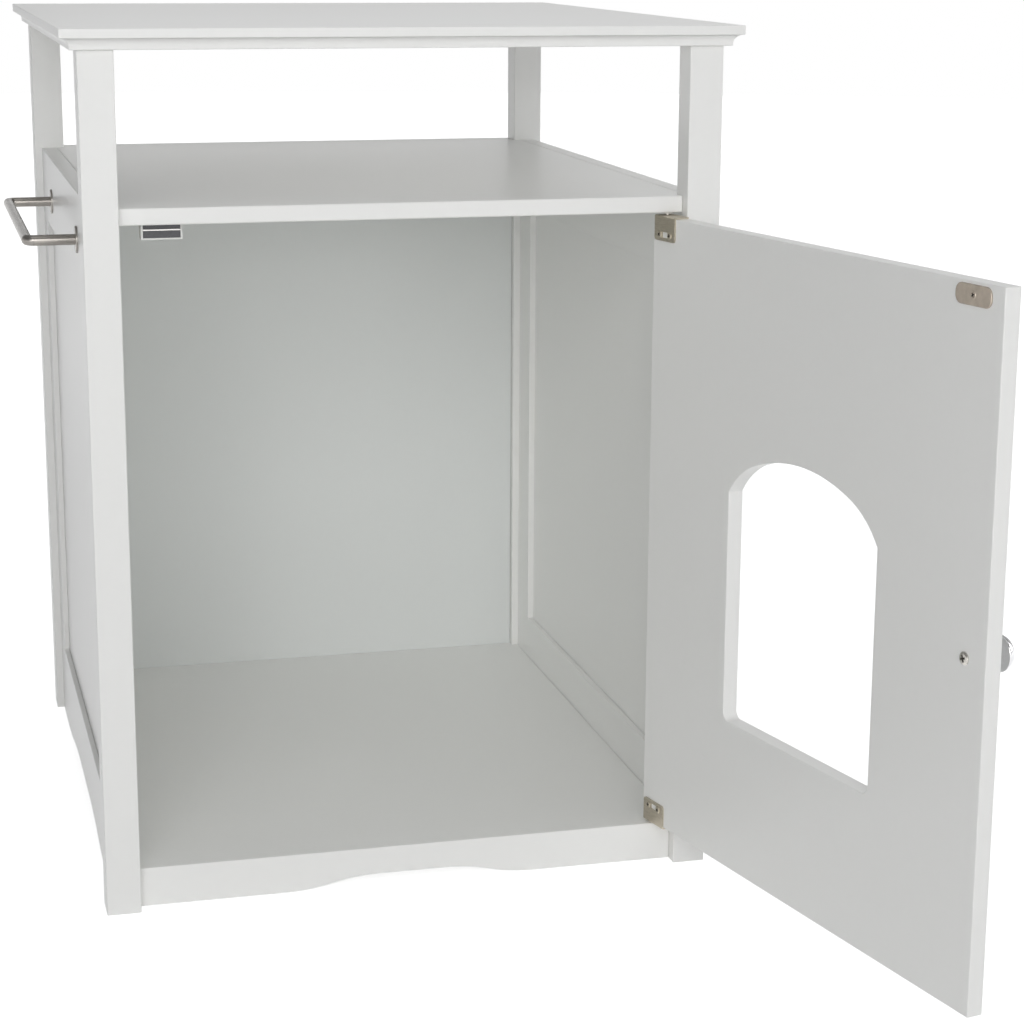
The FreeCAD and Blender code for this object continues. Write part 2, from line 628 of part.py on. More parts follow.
def make_bracket(label, sign, edge):
    """An angle with one leg on the door's inner face, one on the door's edge. It is
    drawn from that edge, and sign says whether the edge faces up or down."""
    body = new_body(label)
    far = signed(-sign, "plate_drop")
    bend = signed(-sign, "(plate_drop - plate_round)")
    near = signed(sign, "plate_thick")
    left = PLATE_LEFT
    right = PLATE_RIGHT
    corners = [(left, near), (left, bend), (left + " + plate_round", far),
               (right + " - plate_round", far), (right, bend), (right, near)]
    turn = "left" if sign > 0 else "right"
    arcs = {1: (left + " + plate_round", bend, turn, "x"),
            3: (right + " - plate_round", bend, turn, "x")}
    sketch = new_sketch(body, "leg", "y", DOOR_INNER)
    outline(sketch, corners, arcs)
    middle = signed(-sign, PLATE_SCREW)
    rectangle(sketch, PLATE_MIDDLE + " - slot_width/2", middle + " - slot_height/2",
              PLATE_MIDDLE + " + slot_width/2", middle + " + slot_height/2")
    circles(sketch, bracket_screws(sign), "screw_shank")
    pad(body, sketch, "plate_thick", 1)
    front = "(tread_edge - pin_face)"
    back = DOOR_INNER + " + plate_thick"
    corners = [(left, back), (left, front + " + plate_round"), (left + " + plate_round", front),
               (right + " - plate_round", front), (right, front + " + plate_round"),
               (right, back)]
    arcs = {1: (left + " + plate_round", front + " + plate_round", "left", "x"),
            3: (right + " - plate_round", front + " + plate_round", "left", "x")}
    sketch = new_sketch(body, "tread")
    outline(sketch, corners, arcs)
    circles(sketch, [("0", "0")], "pin_radius")
    pad(body, sketch, "plate_thick", sign)
    place_on_door(body, z=edge)


def make_pin(label, sign, edge):
    body = new_body(label)
    pegs(body, "shaft", "z", "0", sign, [("0", "0")], "pin_radius", "door_lift + pin_depth")
    place_on_door(body, z=edge)


def make_bush(label, sign, face):
    """A lined socket in the shelf or floor panel, with a thin rim on its face."""
    body = new_body(label)
    pegs(body, "sleeve", "z", "0", sign, [("0", "0")], "bush_radius", "bush_depth")
    pegs(body, "rim", "z", "0", -sign, [("0", "0")], "bush_rim", "rim_thick")
    bores(body, "bore", "z", "0", 0, [("0", "0")], "pin_radius + pin_play", "4*bush_depth")
    place(body, PIN_X, PIN_Y, face)


def make_screws(label, axis, sign, centres, kind, shank):
    """Round-headed screws whose heads stand on the seat plane on the side of sign."""
    body = new_body(label)
    radius, height, thin = kind
    pegs(body, "shanks", axis, "0", -sign, centres, thin, shank)
    heads = pegs(body, "heads", axis, "0", sign, centres, radius, height)
    round_rims(body, heads, axis, signed(sign, height), "0.8*" + height)
    return body


def make_hinge_screws():
    kind = ("screw_head", "head_height", "screw_shank")
    for label, sign, edge in (("upper_hinge_screws", 1, DOOR_HIGH),
                              ("lower_hinge_screws", -1, DOOR_LOW)):
        body = make_screws(label, "y", 1, bracket_screws(sign), kind,
                           "plate_thick + screw_depth")
        place_on_door(body, y=DOOR_INNER + " + plate_thick", z=edge)


def make_knob():
    """A domed knob turned about its axis, which points out of the door."""
    body = new_body("knob")
    dome = "(knob_reach - knob_brim)"
    radius = "(knob_radius*knob_radius + " + dome + "*" + dome + ")/(2*" + dome + ")"
    hole = "-(bolt_bite + dowel_spare)"
    corners = [("0", "-knob_reach"), ("0", hole), ("bolt_shank", hole), ("bolt_shank", "0"),
               ("knob_foot", "0"), ("knob_foot", "-knob_step"), ("knob_neck", "-1.5*knob_step"),
               ("knob_neck", "-knob_waist"), ("knob_radius", "-knob_brim")]
    sketch = new_sketch(body, "profile")
    outline(sketch, corners, {8: ("0", "-knob_reach + " + radius, "right", "x")})
    turned = body.newObject("PartDesign::Revolution", "knob_turned")
    turned.Profile = sketch
    turned.ReferenceAxis = (sketch, ["V_Axis"])
    turned.Angle = 360
    DOC.recompute()
    place_on_door(body, KNOB_X, "-pin_face", "knob_height")


def make_knob_screw():
    kind = ("bolt_head", "bolt_height", "bolt_shank")
    body = make_screws("knob_screw", "y", 1, [("0", "0")], kind, "board + bolt_bite")
    place_on_door(body, KNOB_X, DOOR_INNER, "knob_height")


def make_strike():
    body = new_body("strike_plate")
    sketch = new_sketch(body, "face", "y")
    rounded(sketch, "strike_width/2", "strike_height/2", "strike_round")
    circles(sketch, [("0", "0")], "screw_shank")
    pad(body, sketch, "strike_thick", 1)
    place_on_door(body, STRIKE_X, DOOR_INNER, STRIKE_Z)
    kind = ("screw_head", "head_height/2", "screw_shank")
    body = make_screws("strike_screw", "y", 1, [("0", "0")], kind, "strike_thick + screw_depth")
    place_on_door(body, STRIKE_X, DOOR_INNER + " + strike_thick", STRIKE_Z)


def make_catch():
    """A magnetic catch under the shelf: its housing, two magnets, the steel between
    them and two screws through the ears."""
    body = new_body("catch_housing")
    half = "(catch_width/2)"
    outer = "(catch_width/2 + catch_wall)"
    sketch = new_sketch(body, "box", "y")
    rectangle(sketch, "-" + outer, "-catch_height", outer, "0")
    pad(body, sketch, "catch_depth", 1)
    sketch = new_sketch(body, "ears", "y", "catch_wall/2")
    rectangle(sketch, "-catch_ears/2", "-ear_thick", "catch_ears/2", "0")
    pad(body, sketch, "catch_depth - catch_wall", 1)
    low = "-(ear_thick + magnet_upper + pole_thick + magnet_lower)"
    pole_low = "-(ear_thick + magnet_upper + pole_thick)"
    pole_high = "-(ear_thick + magnet_upper)"
    sketch = new_sketch(body, "mouth", "y")
    rectangle(sketch, "-" + half, low, half, "-ear_thick")
    pocket(body, sketch, "magnet_depth", 1)
    centres = [(signed(side, EAR_SCREW), "catch_depth/2") for side in (1, -1)]
    bores(body, "ear_bores", "z", "0", 0, centres, "screw_shank", "4*ear_thick")
    place(body, CATCH_X, CATCH_Y, SHELF_LOW)
    body = new_body("catch_magnets")
    sketch = new_sketch(body, "faces", "y")
    rectangle(sketch, "-" + half, low, half, pole_low)
    rectangle(sketch, "-" + half, pole_high, half, "-ear_thick")
    pad(body, sketch, "magnet_depth", 1)
    place(body, CATCH_X, CATCH_Y, SHELF_LOW)
    body = new_body("catch_steel")
    sketch = new_sketch(body, "face", "y", "-pole_proud")
    rectangle(sketch, "-" + half, pole_low, half, pole_high)
    pad(body, sketch, "magnet_depth + pole_proud", 1)
    place(body, CATCH_X, CATCH_Y, SHELF_LOW)
    kind = ("screw_head", "head_height", "screw_shank")
    body = make_screws("catch_screws", "z", -1, centres, kind, "ear_thick + screw_depth")
    place(body, CATCH_X, CATCH_Y, SHELF_LOW + " - ear_thick")


def make_towel_bar():
    """A round bar bent twice, its two ends square against the left side."""
    body = new_body("towel_bar")
    end = "bar_span/2"
    bent = "(bar_span/2 - bar_bend)"
    out = "-(bar_reach - bar_bend)"
    path = new_sketch(body, "path")
    corners = [("0", "-" + end), (out, "-" + end), ("-bar_reach", "-" + bent),
               ("-bar_reach", bent), (out, end), ("0", end)]
    arcs = {1: (out, "-" + bent, "right", "x"), 3: (out, bent, "right", "x")}
    outline(path, corners, arcs, closed=False)
    section = new_sketch(body, "section", "x")
    circles(section, [("-" + end, "0")], "bar_radius")
    DOC.recompute()
    swept = body.newObject("PartDesign::AdditivePipe", "towel_bar_swept")
    swept.Profile = section
    swept.Spine = (path, ["Edge%d" % i for i in range(1, 6)])
    DOC.recompute()
    centres = [(signed(side, end), "0") for side in (1, -1)]
    bores(body, "end_bores", "x", "0", -1, centres, "bolt_shank", "bolt_bite + dowel_spare")
    place(body, "-" + OUTER, "0", "bar_height")
    for label, side in (("front_bar_flange", -1), ("back_bar_flange", 1)):
        body = new_body(label)
        disc = pegs(body, "disc", "x", "0", -1, [("0", "0")], "flange_radius", "flange_thick")
        round_rims(body, disc, "x", "-flange_thick", "flange_thick/2")
        bores(body, "bore", "x", "0", 0, [("0", "0")], "bar_radius", "4*flange_thick")
        place(body, "-" + OUTER, signed(side, end), "bar_height")
    kind = ("bolt_head", "bolt_height", "bolt_shank")
    body = make_screws("towel_bar_screws", "x", 1, centres, kind, FRAME + " + bolt_bite")
    place(body, "-" + INNER, "0", "bar_height")


def make_cabinet():
    make_top()
    for end, end_name in ((-1, "front"), (1, "back")):
        for side, side_name in ((-1, "left"), (1, "right")):
            make_post("post_%s_%s" % (end_name, side_name), side, end)
            make_stile("%s_%s_stile" % (side_name, end_name), side, end)
    for side, name in ((-1, "left"), (1, "right")):
        make_top_rail(name + "_top_rail", side)
        make_low_rail(name + "_low_rail", side)
        make_side_panel(name + "_side_panel", side)
    make_shelf()
    make_floor()
    make_back()
    make_apron()
    make_all_dowels()


def make_door_and_fittings():
    make_door()
    for name, sign, edge, face in (("upper", 1, DOOR_HIGH, SHELF_LOW),
                                   ("lower", -1, DOOR_LOW, "floor_top")):
        make_bracket(name + "_hinge_bracket", sign, edge)
        make_pin(name + "_pivot_pin", sign, edge)
        make_bush(name + "_pivot_bush", sign, face)
    make_hinge_screws()
    make_knob()
    make_knob_screw()
    make_strike()
    make_catch()
    make_towel_bar()


def settle_frame():
    """Moves everything so that the origin is under the middle of the whole object."""
    box = FreeCAD.BoundBox()
    for piece in PIECES:
        box.add(piece.Shape.optimalBoundingBox(False, False))
    for alias, middle in (("frame_x", box.Center.x), ("frame_y", box.Center.y)):
        SHEET.set(alias, str(-middle))
    DOC.recompute()


def check_pieces():
    for item in DOC.Objects:
        if "Invalid" in item.State or "Error" in item.State:
            raise RuntimeError(item.Label + " did not compute")
    for piece in PIECES:
        if piece.Shape.isNull() or not piece.Shape.isValid() or not piece.Shape.Solids:
            raise RuntimeError(piece.Label + " has no sound shape")


def write_pieces():
    os.makedirs("parts", exist_ok=True)
    for piece in PIECES:
        piece.Shape.exportStep("parts/" + piece.Label + ".step")
        print("%-22s %2d solids %10.0f mm3" % (
            piece.Label, len(piece.Shape.Solids), piece.Shape.Volume))


fill_sheet()
make_cabinet()
make_door_and_fittings()
settle_frame()
check_pieces()
write_pieces()
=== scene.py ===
import json
import math

import bmesh
import bpy
from mathutils import Matrix, Vector


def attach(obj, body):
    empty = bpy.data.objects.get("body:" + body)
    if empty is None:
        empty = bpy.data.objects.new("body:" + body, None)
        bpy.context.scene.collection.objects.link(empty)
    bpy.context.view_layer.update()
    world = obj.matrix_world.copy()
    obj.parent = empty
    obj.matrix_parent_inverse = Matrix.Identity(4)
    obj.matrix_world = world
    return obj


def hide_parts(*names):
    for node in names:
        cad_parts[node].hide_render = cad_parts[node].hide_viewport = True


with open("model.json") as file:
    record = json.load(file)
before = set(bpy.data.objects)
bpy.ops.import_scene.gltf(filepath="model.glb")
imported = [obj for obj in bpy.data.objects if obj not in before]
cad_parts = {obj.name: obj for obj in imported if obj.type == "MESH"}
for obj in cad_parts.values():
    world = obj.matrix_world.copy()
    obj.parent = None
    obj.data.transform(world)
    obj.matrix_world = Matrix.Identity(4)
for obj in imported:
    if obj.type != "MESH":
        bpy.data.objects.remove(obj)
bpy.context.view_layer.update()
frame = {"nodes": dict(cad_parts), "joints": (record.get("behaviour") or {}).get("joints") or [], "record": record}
print("stage: frame loaded,", len(frame["nodes"]), "nodes")

record = frame["record"]
slotOf = {part["node"]: part["material_slot"] for part in record["subparts"]}
bodyOf = {node: body for body, nodes in record["behaviour"]["bodies"].items() for node in nodes}
hinge = next(joint for joint in frame["joints"] if joint["name"] == "door_hinge")
openAngle = -math.radians(hinge["range_deg"][0])  # the door's turn from shut to how it stands
# The door's own frame: x towards its hinge edge, y towards its inner face, z up from the floor.
doorPlace = (Matrix.Translation((hinge["pos_m"][0], hinge["pos_m"][1], 0))
             @ Matrix.Rotation(openAngle, 4, "Z"))
roomPlace = Matrix.Identity(4)


def boxOf(node, place=roomPlace):
    back = place.inverted()
    corners = [back @ vertex.co for vertex in frame["nodes"][node].data.vertices]
    low = Vector([min(corner[axis] for corner in corners) for axis in range(3)])
    high = Vector([max(corner[axis] for corner in corners) for axis in range(3)])
    return low, high, (low + high) / 2


# The camera stands where the photograph was taken from.
cameraValues = {
    "position": (-0.37949, -1.74400, 0.70246),
    "yaw": 14.562,
    "pitch": 13.564,
    "roll": 0.303,
    "focalPixels": 2407.9,
    "imageWidth": 1024,
    "sensor": 36.0,
}


def makeCamera(values):
    yaw, pitch, roll = (math.radians(values[key]) for key in ("yaw", "pitch", "roll"))
    level = math.cos(pitch)
    forward = Vector((math.sin(yaw) * level, math.cos(yaw) * level, -math.sin(pitch)))
    right = Vector((math.cos(yaw), -math.sin(yaw), 0))
    up = right.cross(forward)
    tiltedRight = math.cos(roll) * right + math.sin(roll) * up
    tiltedUp = math.cos(roll) * up - math.sin(roll) * right
    data = bpy.data.cameras.new("photoCamera")
    data.sensor_width = values["sensor"]
    data.lens = values["focalPixels"] * values["sensor"] / values["imageWidth"]
    data.clip_start = 0.01
    data.clip_end = 100
    camera = bpy.data.objects.new("photoCamera", data)
    turned = Matrix((tiltedRight, tiltedUp, -forward)).transposed().to_4x4()
    camera.matrix_world = Matrix.Translation(values["position"]) @ turned
    bpy.context.scene.collection.objects.link(camera)
    bpy.context.scene.camera = camera


makeCamera(cameraValues)
print("stage: camera")


# Each keyword is a socket of the shader, with _ for the spaces in its name.
def startMaterial(name, **sockets):
    material = bpy.data.materials.new(name)
    material.use_nodes = True
    shader = material.node_tree.nodes["Principled BSDF"]
    for socket, value in sockets.items():
        shader.inputs[socket.replace("_", " ")].default_value = value
    return material, material.node_tree, shader


def link(tree, source, output, target, socket):
    tree.links.new(source.outputs[output], target.inputs[socket])


def objectPlace(tree, stretch=(1, 1, 1)):
    coordinate = tree.nodes.new("ShaderNodeTexCoord")
    mapping = tree.nodes.new("ShaderNodeMapping")
    mapping.inputs["Scale"].default_value = stretch
    link(tree, coordinate, "Object", mapping, "Vector")
    return mapping


def noiseOn(tree, place, scale, detail=2.0, roughness=0.5):
    noise = tree.nodes.new("ShaderNodeTexNoise")
    noise.inputs["Scale"].default_value = scale
    noise.inputs["Detail"].default_value = detail
    noise.inputs["Roughness"].default_value = roughness
    link(tree, place, "Vector", noise, "Vector")
    return noise


def spread(tree, source, output, low, high, fromLow=0.3, fromHigh=0.7):
    ranged = tree.nodes.new("ShaderNodeMapRange")
    limits = {"From Min": fromLow, "From Max": fromHigh, "To Min": low, "To Max": high}
    for socket, value in limits.items():
        ranged.inputs[socket].default_value = value
    link(tree, source, output, ranged, "Value")
    return ranged


# Each colour is a value or the mix node that makes it.
def blendColours(tree, factor, output, first, second):
    mix = tree.nodes.new("ShaderNodeMix")
    mix.data_type = "RGBA"
    for socket, colour in ((6, first), (7, second)):
        if isinstance(colour, bpy.types.Node):
            tree.links.new(colour.outputs[2], mix.inputs[socket])
        else:
            mix.inputs[socket].default_value = (*colour, 1)
    tree.links.new(factor.outputs[output], mix.inputs[0])
    return mix


def bumpFrom(tree, shader, source, output, strength, distance, under=None):
    bump = tree.nodes.new("ShaderNodeBump")
    bump.inputs["Strength"].default_value = strength
    bump.inputs["Distance"].default_value = distance
    link(tree, source, output, bump, "Height")
    if under:
        link(tree, under, "Normal", bump, "Normal")
    link(tree, bump, "Normal", shader, "Normal")
    return bump


# The paint: two near tones in patches, fine specks, and the slight waves and peel of a roller.
paintColours = {
    "satinWhitePaint": ((0.896, 0.896, 0.880), (0.906, 0.906, 0.891)),
    # The back board's paint is a greyer, cooler copy of the white paint: painted shade for the back of the
    # compartment.
    "backBoardShadedPaint": ((0.775, 0.795, 0.785), (0.786, 0.806, 0.797)),  # a little greyer
}
paintValues = {
    "patch": 5.0,
    "patchRange": (0.15, 0.85),
    "speck": 160.0,
    "speckRange": (0.45, 0.8),
    "speckShare": 0.2,
    "speckShade": 0.97,
    "peel": 520.0,
    "peelDepth": 0.00004,
    "wave": 38.0,
    "waveDepth": 0.00008,
    "shine": (0.29, 0.33),
    "specular": 0.40,
    "index": 1.46,
}


def makePaint(name, colours, values):
    material, tree, shader = startMaterial(name, IOR=values["index"],
                                           Specular_IOR_Level=values["specular"])
    place = objectPlace(tree)
    patches = noiseOn(tree, place, values["patch"], detail=4, roughness=0.55)
    specks = noiseOn(tree, place, values["speck"], detail=3, roughness=0.6)
    share = spread(tree, patches, "Fac", 0, 1, *values["patchRange"])
    broad = blendColours(tree, share, "Result", *colours)
    fine = spread(tree, specks, "Fac", 0, values["speckShare"], *values["speckRange"])
    shade = tuple(part * values["speckShade"] for part in colours[0])
    colour = blendColours(tree, fine, "Result", broad, shade)
    tree.links.new(colour.outputs[2], shader.inputs["Base Color"])
    shine = spread(tree, patches, "Fac", *values["shine"], *values["patchRange"])
    link(tree, shine, "Result", shader, "Roughness")
    waves = noiseOn(tree, place, values["wave"])
    soft = bumpFrom(tree, shader, waves, "Fac", strength=0.2, distance=values["waveDepth"])
    peel = noiseOn(tree, place, values["peel"])
    bumpFrom(tree, shader, peel, "Fac", strength=0.3, distance=values["peelDepth"], under=soft)
    return material


# Every metal and plastic: two tones of grain, shine that follows it, and a shallow bump.
grainValues = {
    # The bar's long run and its arms are one brushed steel with grain along each. The run's darker colour is
    # painted shade and the arms' lighter colour is painted light.
    "brushedBarShaded": {
        "metal": 1.0, "colour": (0.33, 0.31, 0.29), "other": (0.25, 0.235, 0.22),
        "shine": (0.20, 0.32), "stretch": (40, 1, 40), "grain": 60.0, "depth": 0.00003,
    },
    "brushedArmsLit": {
        "metal": 1.0, "colour": (0.40, 0.375, 0.345), "other": (0.30, 0.28, 0.26),
        "shine": (0.20, 0.32), "stretch": (1, 40, 40), "grain": 60.0, "depth": 0.00003,
    },
    "brushedFlange": {
        "metal": 1.0, "colour": (0.36, 0.34, 0.32), "other": (0.27, 0.26, 0.24),
        "shine": (0.24, 0.36), "stretch": (1, 6, 6), "grain": 220.0, "depth": 0.00002,
    },
    "satinNickel": {
        "metal": 1.0, "colour": (0.60, 0.545, 0.45), "other": (0.48, 0.435, 0.355),
        "shine": (0.34, 0.46), "stretch": (1, 1, 10), "grain": 190.0, "depth": 0.00003,
    },
    "warmNickel": {
        "metal": 1.0, "colour": (0.52, 0.455, 0.39), "other": (0.41, 0.355, 0.30),
        "shine": (0.28, 0.42), "stretch": (1, 1, 1), "grain": 130.0, "depth": 0.00004,
    },
    "platedScrew": {
        "metal": 1.0, "colour": (0.62, 0.60, 0.56), "other": (0.46, 0.44, 0.41),
        "shine": (0.20, 0.34), "stretch": (1, 1, 1), "grain": 900.0, "depth": 0.00002,
    },
    # Near-black metal for the cross cut into screw heads: painted shade in the recess, on what is the same plated
    # metal.
    "recessPaintedShade": {
        "metal": 1.0, "colour": (0.075, 0.070, 0.062), "other": (0.050, 0.046, 0.040),
        "shine": (0.45, 0.60), "stretch": (1, 1, 1), "grain": 900.0, "depth": 0.00002,
    },
    "platedSteel": {
        "metal": 1.0, "colour": (0.55, 0.54, 0.52), "other": (0.44, 0.43, 0.42),
        "shine": (0.25, 0.40), "stretch": (1, 1, 20), "grain": 300.0, "depth": 0.00002,
    },
    "polishedChrome": {
        "metal": 1.0, "colour": (0.72, 0.72, 0.73), "other": (0.66, 0.66, 0.67),
        "shine": (0.03, 0.07), "stretch": (1, 1, 1), "grain": 220.0, "depth": 0.000002,
    },
    "mouldedCatch": {
        "metal": 0.0, "colour": (0.78, 0.78, 0.76), "other": (0.74, 0.74, 0.72),
        "shine": (0.38, 0.50), "stretch": (1, 1, 1), "grain": 700.0, "depth": 0.00003,
    },
    "mouldedBush": {
        "metal": 0.0, "colour": (0.70, 0.69, 0.66), "other": (0.66, 0.65, 0.62),
        "shine": (0.45, 0.55), "stretch": (1, 1, 1), "grain": 900.0, "depth": 0.00003,
    },
    "sinteredMagnet": {
        "metal": 0.0, "colour": (0.060, 0.060, 0.066), "other": (0.085, 0.085, 0.092),
        "shine": (0.45, 0.62), "stretch": (1, 1, 1), "grain": 1100.0, "depth": 0.00006,
    },
    "bareBeech": {
        "metal": 0.0, "colour": (0.62, 0.45, 0.28), "other": (0.48, 0.33, 0.19),
        "shine": (0.55, 0.70), "stretch": (1, 1, 0.12), "grain": 190.0, "depth": 0.00008,
    },
}


def makeGrained(name, values):
    material, tree, shader = startMaterial(name, Metallic=values["metal"])
    place = objectPlace(tree, values["stretch"])
    grain = noiseOn(tree, place, values["grain"], detail=3, roughness=0.6)
    share = spread(tree, grain, "Fac", 0, 1)
    colour = blendColours(tree, share, "Result", values["colour"], values["other"])
    tree.links.new(colour.outputs[2], shader.inputs["Base Color"])
    shine = spread(tree, grain, "Fac", *values["shine"])
    link(tree, shine, "Result", shader, "Roughness")
    bumpFrom(tree, shader, grain, "Fac", strength=0.4, distance=values["depth"])
    return material


paint = {name: makePaint(name, colours, paintValues)
         for name, colours in paintColours.items()}
finish = {name: makeGrained(name, values) for name, values in grainValues.items()}
print("stage: finishes")


# Makes one visible piece of a shape, in place of the CAD's nodes of the same body and slot.
def finishPiece(name, shape, materials, nodes, sharpest=35):
    for edge in shape.edges:
        edge.smooth = edge.calc_face_angle(math.pi) < math.radians(sharpest)
    mesh = bpy.data.meshes.new(name)
    shape.to_mesh(mesh)
    shape.free()
    piece = bpy.data.objects.new(name, mesh)
    bpy.context.scene.collection.objects.link(piece)
    for material in materials:
        mesh.materials.append(material)
    for face in mesh.polygons:
        face.use_smooth = True
    weighted = piece.modifiers.new("evenShading", "WEIGHTED_NORMAL")
    weighted.keep_sharp = True
    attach(piece, bodyOf[nodes[0]])
    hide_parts(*nodes)


# The CAD's mesh is loose triangles, so its copy is merged and its flat faces are joined.
def mergedCopy(node):
    shape = bmesh.new()
    shape.from_mesh(frame["nodes"][node].data)
    bmesh.ops.remove_doubles(shape, verts=shape.verts, dist=1e-6)
    bmesh.ops.dissolve_limit(shape, angle_limit=math.radians(0.5),
                             verts=shape.verts, edges=shape.edges)
    return shape


def easeEdges(shape, radius, shortest=0.0006, segments=3, sharpest=30,
              wanted=lambda edge: True):
    edges = [edge for edge in shape.edges
             if edge.is_convex and edge.calc_length() > shortest
             and edge.calc_face_angle(0) > math.radians(sharpest) and wanted(edge)]
    bmesh.ops.bevel(shape, geom=edges, offset=radius, offset_type="OFFSET", segments=segments,
                    profile=0.5, affect="EDGES", material=-1, clamp_overlap=True)


# Painted boards have their edges eased by sanding, but not where two boards are flush.
boardValues = {
    "ease": 0.0008,
    "segments": 3,
    "shortest": 0.0006,
    "flushWithin": 0.0003,
    "own": {  # ease and shortest edge of boards that differ
        "top_panel": (0.0007, 0.0020),
        "shelf": (0.0012, 0.0006),
        "door": (0.0010, 0.0006),
    },
}
paintedSlots = ("white_paint", "painted_panel")


# Where this board's faces are flush with its neighbour's, as places along y.
def flushPlaces(node):
    if node in ("floor_panel", "front_apron"):
        return [boxOf("floor_panel")[0].y]
    if node.endswith(("_stile", "_rail")):
        low, high, _ = boxOf(node.split("_")[0] + "_top_rail")
        return [low.y, high.y]
    return []


def liesAt(edge, places, within):
    return any(all(abs(vertex.co.y - place) < within for vertex in edge.verts)
               for place in places)


def makeBoards(values):
    for node in sorted(frame["nodes"]):
        if slotOf[node] not in paintedSlots:
            continue
        radius, shortest = values["own"].get(node, (values["ease"], values["shortest"]))
        places = flushPlaces(node)
        shape = mergedCopy(node)
        easeEdges(shape, radius, shortest, values["segments"],
                  wanted=lambda edge: not liesAt(edge, places, values["flushWithin"]))
        # The back panel takes the greyer copy of the paint, as painted shade inside the compartment.
        colour = "backBoardShadedPaint" if node == "back_panel" else "satinWhitePaint"
        finishPiece(node + "_painted", shape, [paint[colour]], [node])


makeBoards(boardValues)
print("stage: painted boards")

# Hinge brackets: the plate on the door's inner face turns over onto its edge in a round bend.
bracketValues = {
    "bend": 0.0010,
    "bendLength": 0.020,
    "bendNear": 0.0004,
    "rim": 0.00022,
    "rimShortest": 0.0004,
}


def makeBracket(side, values):
    node = side + "_hinge_bracket"
    low, high, _ = boxOf(node, doorPlace)
    outside = high.z if side == "upper" else low.z
    back = doorPlace.inverted()

    def onBend(edge):
        ends = [back @ vertex.co for vertex in edge.verts]
        return edge.calc_length() > values["bendLength"] and all(
            abs(end.y - high.y) < values["bendNear"]
            and abs(end.z - outside) < values["bendNear"] for end in ends)

    shape = mergedCopy(node)
    easeEdges(shape, values["bend"], segments=5, wanted=onBend)
    easeEdges(shape, values["rim"], values["rimShortest"], segments=2, sharpest=40)
    bmesh.ops.dissolve_degenerate(shape, dist=1e-5, edges=shape.edges)
    finishPiece(side + "HingeBracket", shape, [finish["satinNickel"]], [node])


for side in ("upper", "lower"):
    makeBracket(side, bracketValues)
print("stage: hinge brackets")

# Strike plate: eased rim, and a sunk seat for its screw.
strikeValues = {
    "rim": 0.0005,
    "rimFrom": 0.0045,  # from the middle of the plate
    "seat": 0.0011,
    "seatWithin": 0.0020,
    "near": 0.00001,
}


def makeStrikePlate(values):
    _, high, middle = boxOf("strike_plate", doorPlace)
    back = doorPlace.inverted()
    shape = mergedCopy("strike_plate")

    def atFront(edge):
        return all(abs((back @ vertex.co).y - high.y) < values["near"] for vertex in edge.verts)

    def fromMiddle(vertex):
        point = back @ vertex.co
        return Vector((point.x - middle.x, point.z - middle.z)).length

    def atSeat(edge):
        return atFront(edge) and all(fromMiddle(vertex) < values["seatWithin"]
                                     for vertex in edge.verts)

    def atRim(edge):
        return atFront(edge) and all(fromMiddle(vertex) >= values["rimFrom"]
                                     for vertex in edge.verts)

    easeEdges(shape, values["seat"], values["near"], segments=1, sharpest=40, wanted=atSeat)
    easeEdges(shape, values["rim"], values["near"], segments=4, sharpest=60, wanted=atRim)
    finishPiece("strikePlate", shape, [finish["warmNickel"]], ["strike_plate"])


makeStrikePlate(strikeValues)
print("stage: strike plate")

# Screws: a round head with a cross cut into it, and a plain shank with a short point.
screwValues = {
    "small": {"head": 0.0028, "height": 0.0006, "shank": 0.0014, "crown": 0.75, "cross": 0.0030},
    "large": {"head": 0.0043, "height": 0.0016, "shank": 0.0020, "crown": 0.62, "cross": 0.0048},
    "sunk": {"head": 0.0028, "height": 0.0003, "shank": 0.0014, "crown": 0.93, "cross": 0.0030,
             "sunk": 0.0012},
}
crossValues = {
    "arm": 0.28,
    "sink": 0.9,
    "taper": 0.55,
    "segments": 40,
    "shoulder": (0.16, 0.44, 0.40),  # shares of the head's height, from the crown down
    "point": 0.0012,
    "pointShare": 0.3,
    "between": 37,  # degrees that the second screw is turned past the first
}
# The heads face along an axis, up it (1) or down it (-1), and stand in a row on another.
screwRows = {
    "upper_hinge_screws": {
        "name": "upperHingeScrews", "size": "small", "finish": "satinNickel", "place": doorPlace,
        "axis": 1, "sign": 1, "row": 0, "count": 2, "turn": 12,
    },
    "lower_hinge_screws": {
        "name": "lowerHingeScrews", "size": "small", "finish": "satinNickel", "place": doorPlace,
        "axis": 1, "sign": 1, "row": 0, "count": 2, "turn": 64,
    },
    "strike_screw": {
        "name": "strikeScrew", "size": "sunk", "finish": "warmNickel", "place": doorPlace,
        "axis": 1, "sign": 1, "row": 0, "count": 1, "turn": 30,
    },
    "knob_screw": {
        "name": "knobScrew", "size": "large", "finish": "platedScrew", "place": doorPlace,
        "axis": 1, "sign": 1, "row": 0, "count": 1, "turn": 20,
    },
    "towel_bar_screws": {
        "name": "towelBarScrews", "size": "large", "finish": "platedScrew", "place": roomPlace,
        "axis": 0, "sign": 1, "row": 1, "count": 2, "turn": 8,
    },
    "catch_screws": {
        "name": "catchScrews", "size": "small", "finish": "platedScrew", "place": roomPlace,
        "axis": 2, "sign": -1, "row": 0, "count": 2, "turn": 50,
    },
}


def pickOut(result, kind):
    return [item for item in result if isinstance(item, kind)]


# Grows faces out of a ring of edges, and gives the new ring's vertices and edges.
def nextRing(shape, ring):
    verts = pickOut(bmesh.ops.extrude_edge_only(shape, edges=ring)["geom"], bmesh.types.BMVert)
    kept = set(verts)
    return verts, [edge for edge in shape.edges
                   if edge.verts[0] in kept and edge.verts[1] in kept]


